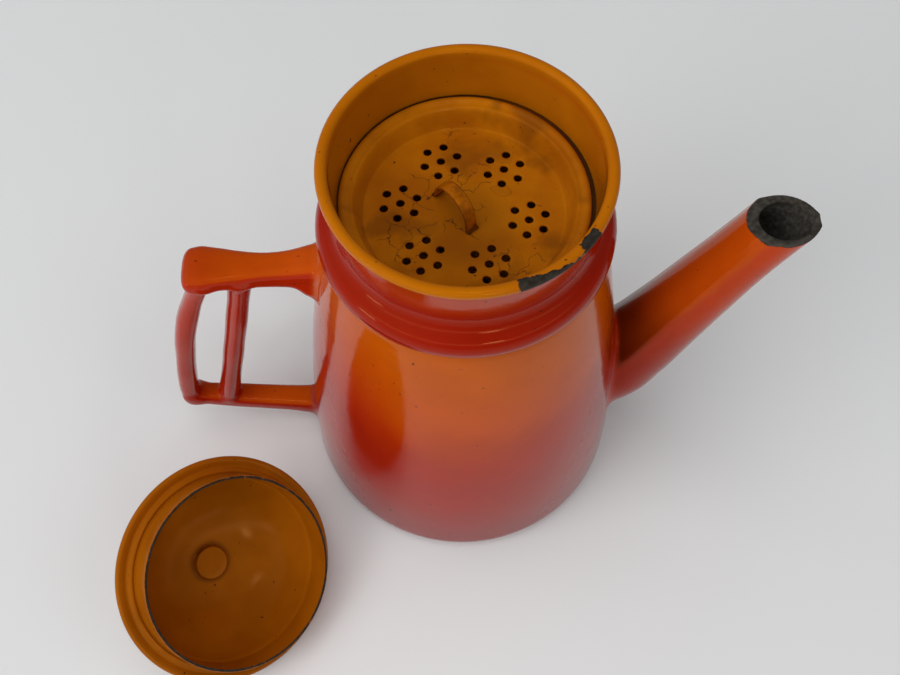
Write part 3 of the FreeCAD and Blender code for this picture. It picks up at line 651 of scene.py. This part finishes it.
class Nodes:
    """A node tree, with short ways to add and join nodes; place is where it is sampled."""

    def __init__(self, tree, coordinates):
        self.tree = tree
        self.place = self.add("ShaderNodeTexCoord").outputs[coordinates]

    def add(self, kind, **settings):
        node = self.tree.nodes.new(kind)
        for key, value in settings.items():
            setattr(node, key, value)
        return node

    def put(self, socket, value):
        """Link a socket to another or set it to a number or a colour."""
        if isinstance(value, bpy.types.NodeSocket):
            self.tree.links.new(value, socket)
        elif value is not None:
            socket.default_value = value

    def math(self, operation, a, b=None):
        node = self.add("ShaderNodeMath", operation=operation)
        self.put(node.inputs[0], a)
        self.put(node.inputs[1], b)
        return node.outputs[0]

    def plus(self, a, b):
        return self.math("ADD", a, b)

    def minus(self, a, b):
        return self.math("SUBTRACT", a, b)

    def times(self, a, b):
        return self.math("MULTIPLY", a, b)

    def most(self, a, b):
        return self.math("MAXIMUM", a, b)

    def length(self, a, b):
        """The length of the longest side of a right-angled triangle."""
        return self.math("SQRT", self.plus(self.times(a, a), self.times(b, b)))

    def ranged(self, value, low, high, start=0.0, end=1.0, smooth=True):
        """Map low..high to start..end, held at both ends."""
        node = self.add("ShaderNodeMapRange")
        node.interpolation_type = "SMOOTHSTEP" if smooth else "LINEAR"
        for name, number in (("Value", value), ("From Min", low), ("From Max", high),
                             ("To Min", start), ("To Max", end)):
            self.put(node.inputs[name], number)
        return node.outputs["Result"]

    def noise(self, scale, detail=3.0, roughness=0.5, distortion=0.0, place=None):
        node = self.add("ShaderNodeTexNoise")
        self.put(node.inputs["Vector"], place or self.place)
        for name, number in (("Scale", scale), ("Detail", detail), ("Roughness", roughness),
                             ("Distortion", distortion)):
            self.put(node.inputs[name], number)
        return node.outputs["Fac"]

    def mix(self, factor, a, b):
        node = self.add("ShaderNodeMix", data_type="RGBA")
        colour_inputs = [socket for socket in node.inputs if socket.type == "RGBA"]
        self.put(node.inputs["Factor"], factor)
        self.put(colour_inputs[0], a)
        self.put(colour_inputs[1], b)
        return [socket for socket in node.outputs if socket.type == "RGBA"][0]

    def clouded(self, scale, first, second):
        """Two colours in soft clouds."""
        return self.mix(self.ranged(self.noise(scale), 0.3, 0.7), first, second)

    def split(self, vector=None):
        node = self.add("ShaderNodeSeparateXYZ")
        self.put(node.inputs[0], vector or self.place)
        return node.outputs

    def bump(self, height, distance, strength=1.0, normal=None):
        node = self.add("ShaderNodeBump")
        self.put(node.inputs["Height"], height)
        self.put(node.inputs["Distance"], distance)
        self.put(node.inputs["Strength"], strength)
        self.put(node.inputs["Normal"], normal)
        return node.outputs["Normal"]


class Shader(Nodes):
    """A material's node tree. home is the frame of a piece that has its own axis."""

    def __init__(self, name, home=None):
        self.material = bpy.data.materials.new(name)
        self.material.use_nodes = True
        self.material.node_tree.nodes.clear()
        super().__init__(self.material.node_tree, "Object")
        output = self.add("ShaderNodeOutputMaterial")
        self.surface = self.add("ShaderNodeBsdfPrincipled")
        self.tree.links.new(self.surface.outputs["BSDF"], output.inputs["Surface"])
        if home is not None:
            inverse = home.inverted()
            mapping = self.add("ShaderNodeMapping")
            self.put(mapping.inputs["Vector"], self.place)
            mapping.inputs["Location"].default_value = inverse.to_translation()
            mapping.inputs["Rotation"].default_value = inverse.to_euler()
            self.place = mapping.outputs[0]


YELLOW_ORANGE = (0.560, 0.098, 0.001, 1)
ORANGE = (0.540, 0.070, 0.002, 1)
OCHRE = (0.500, 0.150, 0.002, 1)
RED = (0.360, 0.010, 0.003, 1)
WARM_RED = (0.420, 0.022, 0.002, 1)
COLLAR_RED = (0.330, 0.008, 0.002, 1)
WALL_RED = (0.440, 0.034, 0.003, 1)
# deep red of the foot, lifted toward pink as a painted reflection of the table
FOOT_RED_AND_SHEEN = (0.270, 0.030, 0.032, 1)
# dark red-brown of the painted shade at the spout's root
ROOT_SHADE = (0.110, 0.010, 0.001, 1)
BROWN = (0.130, 0.036, 0.003, 1)
# near black: real specks and hairlines in the enamel, and painted shade in the gaps round the
# spreader
SOOT_AND_SHADE = (0.012, 0.008, 0.006, 1)
FILTER_DARK, FILTER_LIGHT = (0.380, 0.105, 0.002, 1), (0.500, 0.155, 0.002, 1)
LID_DARK, LID_LIGHT = (0.300, 0.078, 0.001, 1), (0.400, 0.112, 0.002, 1)
ARM_LIGHT, ARM_SIDE = (0.440, 0.040, 0.002, 1), (0.420, 0.016, 0.002, 1)
SPOUT_DEEP, SPOUT_BRIGHT = (0.300, 0.008, 0.002, 1), (0.520, 0.042, 0.002, 1)
# the strap's ochre, and a dark brown for its real wear and for the painted shade on its edges and
# feet
STRAP_LIGHT, STRAP_WEAR_AND_SHADE = (0.400, 0.108, 0.002, 1), (0.075, 0.020, 0.002, 1)
TABLE_DARK, TABLE_LIGHT = (0.850, 0.855, 0.845, 1), (0.890, 0.895, 0.885, 1)
INNER_OCHRE = (0.420, 0.118, 0.001, 1)
RIM_OCHRE = (0.500, 0.140, 0.001, 1)
DUSK = (0.200, 0.016, 0.001, 1)
GRAIN = (0.080, 0.008, 0.001, 1)
RUNS = (0.100, 0.012, 0.008, 1)
# dark brown of the painted shadow round the lid's button
BUTTON_SHADE = (0.100, 0.022, 0.001, 1)
IRON = (0.014, 0.014, 0.012, 1)
IRON_LIGHT = (0.036, 0.034, 0.030, 1)

# how the glaze reflects: its index, how strong its reflection is and that reflection's warm tint
GLASS_IOR = 1.5
SHEEN = 0.30
SHEEN_TINT = (1.0, 0.46, 0.14, 1)


def enamel(name, colour, chip=None, cracks=None, stain=None, home=None,
           roughness=(0.075, 0.17), iron=1.0):
    """Glossy vitreous enamel: colour(shader) gives its colour socket, chip(shader) a mask where it
    has flaked off to iron, cracks(shader) a mask of hairlines and stain(shader) a brown haze. home
    is the frame of a piece with its own axis, and iron scales how light the bare iron is."""
    sh = Shader(name, home)
    base = colour(sh)
    base = sh.mix(sh.ranged(sh.noise(38, 3, 0.55), 0.35, 0.68, 0.0, 0.14), base, DUSK)
    base = sh.mix(sh.ranged(sh.noise(900, 2), 0.62, 0.80, 0.0, 0.10), base, GRAIN)
    base = sh.mix(sh.ranged(sh.noise(520, 1, 0.4), 0.775, 0.790, 0.0, 0.8), base, SOOT_AND_SHADE)
    rough = sh.ranged(sh.noise(60, 4, 0.6), 0.3, 0.75, *roughness)
    swell = sh.bump(sh.noise(95, 2), 0.00016, 0.9)
    normal = sh.bump(sh.noise(420, 2, 0.45), 0.000030, 0.9, swell)
    if stain is not None:
        haze = stain(sh)
        base = sh.mix(haze, base, BROWN)
        rough = sh.plus(rough, sh.times(haze, 0.18))
    if cracks is not None:
        line = cracks(sh)
        base = sh.mix(line, base, SOOT_AND_SHADE)
        rough = sh.plus(rough, sh.times(line, 0.3))
        normal = sh.bump(sh.minus(1.0, line), 0.00008, 1.0, normal)
    if chip is not None:
        gone = chip(sh)
        metal = sh.mix(sh.ranged(sh.noise(500, 4, 0.6), 0.35, 0.7), scaled(IRON, iron),
                       scaled(IRON_LIGHT, iron))
        base = sh.mix(gone, base, metal)
        rough = sh.plus(sh.times(rough, sh.minus(1.0, gone)), sh.times(gone, 0.58))
        grit = sh.times(sh.noise(1400, 4, 0.65), gone)
        height = sh.minus(grit, sh.times(gone, 1.6))
        normal = sh.bump(height, 0.0003, 1.0, normal)
    for name, value in (("Base Color", base), ("Roughness", rough), ("Normal", normal),
                        ("IOR", GLASS_IOR), ("Specular IOR Level", SHEEN),
                        ("Specular Tint", SHEEN_TINT)):
        sh.put(sh.surface.inputs[name], value)
    return sh.material


def scaled(colour, amount):
    """A colour made lighter or darker."""
    return tuple(amount * part for part in colour[:3]) + (1,)


def facing_up(sh):
    """How far the surface faces up, from -1 to 1."""
    return sh.split(sh.add("ShaderNodeNewGeometry").outputs["Normal"])[2]


def cloud(sh, scale, size, detail=2.0):
    """Soft noise between minus and plus half of size."""
    return sh.times(sh.minus(sh.noise(scale, detail, 0.5), 0.5), size)


def axis_distance(sh, centre=(0.0, 0.0)):
    """The distance from an upright axis, in metres."""
    x, y, _ = sh.split()
    return sh.length(sh.minus(x, centre[0] * MM), sh.minus(y, centre[1] * MM))


def band(sh, value, low, high, soft):
    """One between low and high, with soft ends."""
    return sh.times(sh.ranged(value, low - soft, low + soft),
                    sh.ranged(value, high - soft, high + soft, 1.0, 0.0))


def body_colour(sh):
    """Orange under the collar, reaching lowest at the front and back, then red to the foot, which
    has a painted reflection.
    """
    x, _, z = sh.split()
    level = sh.plus(z, cloud(sh, 16, 0.034, 3))
    level = sh.minus(level, sh.ranged(x, -0.016, -0.048, 0.0, 0.030))
    level = sh.minus(level, sh.ranged(x, 0.018, 0.050, 0.0, 0.012))
    top = sh.mix(sh.ranged(level, 0.120, 0.165), ORANGE, YELLOW_ORANGE)
    low = sh.mix(sh.ranged(level, 0.060, 0.104), RED, WARM_RED)
    middle = sh.mix(sh.ranged(level, 0.090, 0.130), low, top)
    # the foot's deep red with a pinkish cast that paints the table's reflection
    own = sh.mix(sh.ranged(z, 0.004, 0.060), FOOT_RED_AND_SHEEN, middle)
    stretched = sh.add("ShaderNodeVectorMath", operation="MULTIPLY")
    sh.put(stretched.inputs[0], sh.place)
    stretched.inputs[1].default_value = (1.0, 1.0, 0.12)
    runs = sh.ranged(sh.noise(330, 2, 0.5, place=stretched.outputs[0]), 0.66, 0.72)
    low_down = sh.ranged(sh.plus(z, cloud(sh, 70, 0.03)), 0.010, 0.028, 0.4, 0.0)
    return sh.mix(sh.times(runs, low_down), own, RUNS)


def side_gap(sh):
    """How far a point stands off the body's side, in metres."""
    z = sh.split()[2]
    t = sh.math("DIVIDE", sh.minus(z, BASE_CORNER * MM), (SIDE_TOP[1] - BASE_CORNER) * MM)
    straight = sh.plus(sh.times(t, (SIDE_TOP[0] - BASE_RADIUS) * MM), BASE_RADIUS * MM)
    bow = sh.times(sh.times(t, sh.minus(1.0, t)), 4 * SIDE_BULGE * MM)
    return sh.minus(axis_distance(sh), sh.plus(straight, bow))


def hopper_colour(sh):
    """Ochre on the rim and inside, red-orange on the wall, deep red on the collar; painted shade,
    near black, low inside under the spreader's ledge.
    """
    z = sh.split()[2]
    wall = sh.mix(sh.ranged(z, 0.193, 0.204), COLLAR_RED, WALL_RED)
    wall = sh.mix(sh.ranged(z, 0.2148, 0.2172), wall, RIM_OCHRE)
    # painted shade: near black low on the inner wall, in the gap under the spreader's edge
    gap_shade = sh.ranged(sh.plus(z, cloud(sh, 260, 0.0008, 3)), 0.1968, 0.1973, 0.92, 0.0)
    inner = sh.mix(gap_shade, sh.clouded(36, INNER_OCHRE, OCHRE), SOOT_AND_SHADE)
    upright = sh.plus(axis_distance(sh), sh.times(sh.minus(0.216, z), 0.02))
    return sh.mix(sh.ranged(upright, 0.0478, 0.0484), inner, wall)


def filter_colour(sh):
    """Ochre with darker clouds, and painted shade, near black, on the outer edge in the gap by the
    hopper's wall.
    """
    own = sh.clouded(45, FILTER_DARK, FILTER_LIGHT)
    # painted shade: near black past the spreader's edge, where the gap lies
    edge = sh.plus(axis_distance(sh, DISC_CENTRE[:2]), cloud(sh, 260, 0.0010, 3))
    return sh.mix(sh.ranged(edge, 0.0454, 0.0457, 0.0, 0.9), own, SOOT_AND_SHADE)


def strap_colour(sh):
    """The filter's ochre, worn brown, with painted shade darkening its edges and feet."""
    x, y, z = sh.split()
    worn = sh.ranged(sh.noise(210, 4, 0.65), 0.42, 0.62, 0.0, 0.5)
    foot = sh.ranged(sh.plus(z, cloud(sh, 300, 0.003)), 0.1908, 0.1922, 0.9, 0.0)
    x, y = sh.minus(x, STRAP_CENTRE[0] * MM), sh.minus(y, STRAP_CENTRE[1] * MM)
    across = sh.plus(sh.times(x, -math.sin(STRAP_ANGLE)), sh.times(y, math.cos(STRAP_ANGLE)))
    across = sh.plus(sh.math("ABSOLUTE", across), cloud(sh, 420, 0.0012, 3))
    edge = sh.ranged(across, 0.0019, 0.0025, 0.0, 0.75)
    # painted shade on the strap's side edges and at its feet on the disc; the noise is real wear
    dark = sh.most(worn, sh.most(foot, edge))
    return sh.mix(dark, STRAP_LIGHT, STRAP_WEAR_AND_SHADE)


def lid_colour(sh):
    """A browner orange, clouded, with a painted shadow: a dark ring round the button."""
    own = sh.clouded(30, LID_DARK, LID_LIGHT)
    near = sh.plus(axis_distance(sh), cloud(sh, 160, 0.0015, 3))
    # painted shadow: a dark ring on the dome round the raised button
    ring = sh.times(sh.ranged(near, 0.0076, 0.0079), sh.ranged(near, 0.0080, 0.0112, 0.60, 0.0))
    high = sh.ranged(sh.split()[2], 0.030, 0.034)
    return sh.mix(sh.times(ring, high), own, BUTTON_SHADE)


def arm_colour(sh):
    """Orange on top of each arm, red on the sides, the bars and the outer end."""
    x, _, z = sh.split()
    up = sh.ranged(sh.plus(facing_up(sh), cloud(sh, 60, 0.35)), 0.35, 0.90)
    far = sh.ranged(sh.plus(x, cloud(sh, 45, 0.012)), -0.112, -0.090)
    light = sh.mix(far, ARM_LIGHT, ORANGE)
    high = sh.mix(sh.ranged(z, 0.030, 0.140), RED, ARM_SIDE)
    own = sh.mix(up, high, light)
    return sh.mix(sh.ranged(side_gap(sh), 0.0004, 0.0045), body_colour(sh), own)


# where the spout's axis crosses the mouth's level, and the cosine and sine of its lean there
MOUTH_MIDDLE = 0.1222
LEAN_COSINE, LEAN_SINE = 0.92, 0.393


def spout_place(sh):
    """A point's place off the spout's axis toward the lip and along it up from the mouth."""
    x, _, z = sh.split()
    x, z = sh.minus(x, MOUTH_MIDDLE), sh.minus(z, MOUTH * MM)
    off = sh.minus(sh.times(x, LEAN_COSINE), sh.times(z, LEAN_SINE))
    return off, sh.plus(sh.times(x, LEAN_SINE), sh.times(z, LEAN_COSINE))


def spout_colour(sh):
    """Orange on the strip that faces the pot, red-orange past the ridge, and painted shade in dark
    brown low on that strip at the root.
    """
    _, y, z = sh.split()
    off, _ = spout_place(sh)
    turn = sh.math("ARCTAN2", sh.math("ABSOLUTE", y), sh.times(off, -1.0))
    turn = sh.plus(turn, cloud(sh, 50, 0.25))
    level = sh.plus(z, cloud(sh, 30, 0.02))
    # painted shade: dark brown low on the strip that faces the pot, under the collar
    near = sh.mix(sh.ranged(level, 0.088, 0.140), ROOT_SHADE, ORANGE)
    outer = sh.mix(sh.ranged(level, 0.070, 0.160), SPOUT_DEEP, SPOUT_BRIGHT)
    own = sh.mix(sh.ranged(turn, 0.80, 1.05), near, outer)
    own = sh.mix(sh.ranged(turn, 1.9, 2.7), own, RED)
    return sh.mix(sh.ranged(side_gap(sh), 0.0004, 0.0035), body_colour(sh), own)


def mouth_bare(sh):
    """Bare iron on the spout's level mouth, on the lip's outer edge and down the bore."""
    _, y, z = sh.split()
    off, along = spout_place(sh)
    deep = sh.plus(sh.times(along, 0.05), 0.0122)
    wide = sh.minus(0.0099, sh.times(along, 0.044))
    a, b = sh.math("DIVIDE", off, deep), sh.math("DIVIDE", y, wide)
    bore = sh.times(sh.ranged(sh.length(a, b), 0.98, 1.02, 1.0, 0.0),
                    sh.ranged(along, -0.060, -0.045))
    edge = sh.plus(z, cloud(sh, 620, 0.0016, 3))
    edge = sh.plus(edge, sh.ranged(off, 0.0070, 0.0125, 0.0, 0.0016))
    flat = sh.ranged(edge, MOUTH * MM - 0.00075, MOUTH * MM - 0.00055)
    return sh.most(bore, flat)


def rim_chips(sh):
    """Where the rim's enamel has flaked to iron: a long patch, a short one and a line between."""
    x, y, z = sh.split()
    degrees = 180 / math.pi
    angle = sh.times(sh.math("ARCTAN2", y, x), degrees)
    angle = sh.plus(angle, cloud(sh, 500, 3.0, 3))
    up = sh.minus(z, (RIM_TOP - RIM_ROLL) * MM)
    out = sh.minus(axis_distance(sh), (RIM_RADIUS - RIM_ROLL) * MM)
    over = sh.times(sh.math("ARCTAN2", up, out), degrees)
    over = sh.plus(over, cloud(sh, 420, 75.0, 4))
    limit = sh.ranged(angle, -71.0, -47.0, 130.0, 8.0, smooth=False)
    first = sh.times(band(sh, angle, -72.5, -46.5, 0.25),
                     sh.ranged(sh.minus(over, limit), -2.0, 2.0, 1.0, 0.0))
    second = sh.times(band(sh, angle, -44.0, -34.0, 0.25), sh.ranged(over, 122.0, 128.0, 1.0, 0.0))
    line = sh.times(band(sh, angle, -48.0, -43.0, 0.5), band(sh, over, 5.0, 26.0, 2.0))
    total = sh.most(sh.most(first, second), line)
    rolled = sh.times(sh.ranged(over, -75.0, -55.0), sh.ranged(z, 0.2150, 0.2156))
    return sh.times(total, rolled)


def warped(sh, scale, size):
    """Object coordinates pushed about by noise."""
    wave = sh.add("ShaderNodeTexNoise")
    sh.put(wave.inputs["Vector"], sh.place)
    wave.inputs["Scale"].default_value = scale
    pushed = sh.add("ShaderNodeVectorMath", operation="SCALE")
    sh.put(pushed.inputs[0], wave.outputs["Color"])
    pushed.inputs["Scale"].default_value = size
    total = sh.add("ShaderNodeVectorMath", operation="ADD")
    sh.put(total.inputs[0], sh.place)
    sh.put(total.inputs[1], pushed.outputs[0])
    return total.outputs[0]


def hairlines(sh):
    """Fine cracks round the strap's feet, fewer of them elsewhere."""
    cells = sh.add("ShaderNodeTexVoronoi", feature="DISTANCE_TO_EDGE")
    sh.put(cells.inputs["Vector"], warped(sh, 210, 0.007))
    cells.inputs["Scale"].default_value = 105
    line = sh.ranged(cells.outputs["Distance"], 0.006, 0.016, 1.0, 0.0)
    near = sh.ranged(axis_distance(sh, STRAP_CENTRE[:2]), 0.009, 0.021, 0.62, 0.0)
    place = sh.ranged(sh.plus(sh.noise(62, 2, 0.5), sh.times(near, 0.26)), 0.60, 0.64)
    flat = sh.ranged(axis_distance(sh), 0.034, 0.037, 0.8, 0.0)
    return sh.times(sh.times(line, place), flat)


def coffee_haze(sh):
    """Brown clouds of old coffee, with thin dark outlines where it dried."""
    field = sh.noise(40, 3, 0.55, 0.4)
    spread = sh.ranged(field, 0.50, 0.66, 0.0, 0.50)
    flat = sh.ranged(axis_distance(sh, DISC_CENTRE[:2]), 0.030, 0.036, 0.55, 0.0)
    outline = sh.times(band(sh, field, 0.553, 0.559, 0.004), flat)
    near = sh.ranged(axis_distance(sh, (1.0, -9.0)), 0.006, 0.026, 0.45, 0.0)
    return sh.most(sh.most(spread, near), outline)


def skirt_wear(sh):
    """The dark worn edge of the lid's skirt, with small nicks."""
    z = sh.split()[2]
    edge = sh.plus(z, cloud(sh, 420, 0.0003, 4))
    return sh.ranged(edge, 0.00009, 0.00003)


def table_material():
    """A pale matt table top with the faintest grain."""
    sh = Shader("pale_sweep")
    sh.put(sh.surface.inputs["Base Color"], sh.mix(sh.noise(3), TABLE_DARK, TABLE_LIGHT))
    sh.put(sh.surface.inputs["Roughness"], sh.ranged(sh.noise(120, 3), 0.3, 0.7, 0.50, 0.62))
    return sh.material


# ---------------- stage

CAMERA_PLACE = (-0.01150, -0.21936, 0.52941)
# degrees down from level and to the right
CAMERA_DOWN = 63.769
CAMERA_TURN = 1.458
LENS = 44.0


def camera():
    """The viewpoint: a little over half a metre up, looking steeply down at the open filter."""
    data = bpy.data.cameras.new("camera")
    data.lens = LENS
    data.sensor_width = 36
    data.clip_start = 0.01
    camera_object = bpy.data.objects.new("camera", data)
    camera_object.location = CAMERA_PLACE
    camera_object.rotation_euler = (math.radians(90 - CAMERA_DOWN), 0, math.radians(-CAMERA_TURN))
    bpy.context.scene.collection.objects.link(camera_object)
    bpy.context.scene.camera = camera_object


LIGHT_TARGET = Vector((0, 0, 0.1))


def softbox(name, place, size, power, glossy=True):
    """A rectangular area light that points at the pot; glossy says if it shows in reflections."""
    data = bpy.data.lights.new(name, "AREA")
    data.shape = "RECTANGLE"
    data.size, data.size_y = size
    data.energy = power
    light = bpy.data.objects.new(name, data)
    light.location = place
    direction = LIGHT_TARGET - Vector(place)
    light.rotation_euler = direction.to_track_quat("-Z", "Y").to_euler()
    light.visible_glossy = glossy
    bpy.context.scene.collection.objects.link(light)


def lights():
    """Soft light, strongest from the left and above, with three windows that give highlights."""
    softbox("left_light", (-1.25, -0.70, 1.35), (1.1, 1.0), 8.5, glossy=False)
    softbox("right_light", (1.10, -0.60, 1.50), (1.1, 1.0), 2.6, glossy=False)
    softbox("top_light", (-0.25, 0.05, 1.80), (1.2, 1.2), 7.5, glossy=False)
    softbox("front_window", (0.45, -1.65, 1.00), (0.34, 0.22), 1.6)
    softbox("low_window", (-1.75, -0.95, 0.40), (0.35, 0.35), 1.6)
    softbox("top_window", (0.15, -0.55, 1.95), (0.50, 0.10), 1.4)


# the surround's own level, and its glows: direction, cosines at the edge and core, strength
SURROUND = 0.10
GLOWS = (
    ((-0.85, -0.35, 0.42), 0.35, 0.95, 0.55), ((0.20, -0.88, 0.42), 0.35, 0.95, 0.10),
    ((0.85, -0.10, 0.50), 0.35, 0.95, 0.12), ((0.00, 0.90, 0.30), 0.45, 0.95, 0.14),
    ((0.00, 0.44, 0.90), 0.70, 0.96, -0.05),
)
STRIP = 1.5


def surround():
    """A dim surround with soft glows and, low in front, a strip that lines the round edges."""
    world = bpy.data.worlds.new("studio")
    world.use_nodes = True
    nodes = Nodes(world.node_tree, "Generated")
    level = SURROUND
    for direction, start, end, amount in GLOWS:
        toward = nodes.add("ShaderNodeVectorMath", operation="DOT_PRODUCT")
        nodes.put(toward.inputs[0], nodes.place)
        nodes.put(toward.inputs[1], Vector(direction).normalized())
        level = nodes.plus(nodes.ranged(toward.outputs["Value"], start, end, 0.0, amount), level)
    _, y, z = nodes.split()
    strip = nodes.times(nodes.ranged(z, 0.30, 0.34, smooth=False),
                        nodes.ranged(z, 0.40, 0.44, 1.0, 0.0, smooth=False))
    strip = nodes.times(strip, nodes.ranged(y, -0.55, -0.25, STRIP, 0.0, smooth=False))
    background = world.node_tree.nodes["Background"]
    nodes.put(background.inputs["Strength"], nodes.plus(level, strip))
    nodes.put(background.inputs["Color"], (0.94, 0.97, 1.0, 1))
    bpy.context.scene.world = world


def sweep():
    """The pale table."""
    mesh = bpy.data.meshes.new("table")
    grid = bmesh.new()
    bmesh.ops.create_grid(grid, x_segments=24, y_segments=24, size=1.8)
    grid.to_mesh(mesh)
    grid.free()
    table = bpy.data.objects.new("table", mesh)
    table.location.z = -0.0002
    bpy.context.scene.collection.objects.link(table)
    table.data.materials.append(table_material())


# ---------------- assembly

def dress(piece, body, nodes, material):
    """Give a piece its body, the CAD nodes it stands for and its material."""
    piece.data.materials.clear()
    piece.data.materials.append(material)
    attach(piece, body)
    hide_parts(*nodes)


def main():
    """The stage, then a dressed piece for each node; the filter cup keeps its own shape."""
    bpy.context.scene.view_settings.view_transform = "Standard"
    camera()
    lights()
    surround()
    sweep()
    dress(body_piece(), "pot", ["pot_body"], enamel("body_enamel", body_colour))
    dress(spout_piece(), "pot", ["spout"],
          enamel("spout_enamel", spout_colour, chip=mouth_bare, iron=1.9))
    dress(handle_piece(), "pot", ["handle"], enamel("handle_enamel", arm_colour))
    dress(hopper_piece(), "filter", ["filter_hopper"],
          enamel("hopper_enamel", hopper_colour, chip=rim_chips))
    dress(disc_piece(), "spreader", ["spreader_disc"],
          enamel("spreader_enamel", filter_colour, cracks=hairlines, stain=coffee_haze))
    dress(strap_piece(), "spreader", ["spreader_strap"],
          enamel("strap_enamel", strap_colour))
    home = lid_matrix()
    shell, knob, button = lid_pieces(home)
    dress(shell, "lid", ["lid_shell"],
          enamel("lid_enamel", lid_colour, chip=skirt_wear, home=home, roughness=(0.15, 0.27)))
    dress(knob, "lid", ["lid_knob"], enamel("knob_enamel", lid_colour, home=home))
    dress(button, "lid", ["lid_rivet"], enamel("rivet_enamel", lid_colour, home=home))
    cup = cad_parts["filter_cup"]
    cup.data.materials.clear()
    cup.data.materials.append(enamel("cup_enamel", filter_colour, stain=coffee_haze))


main()
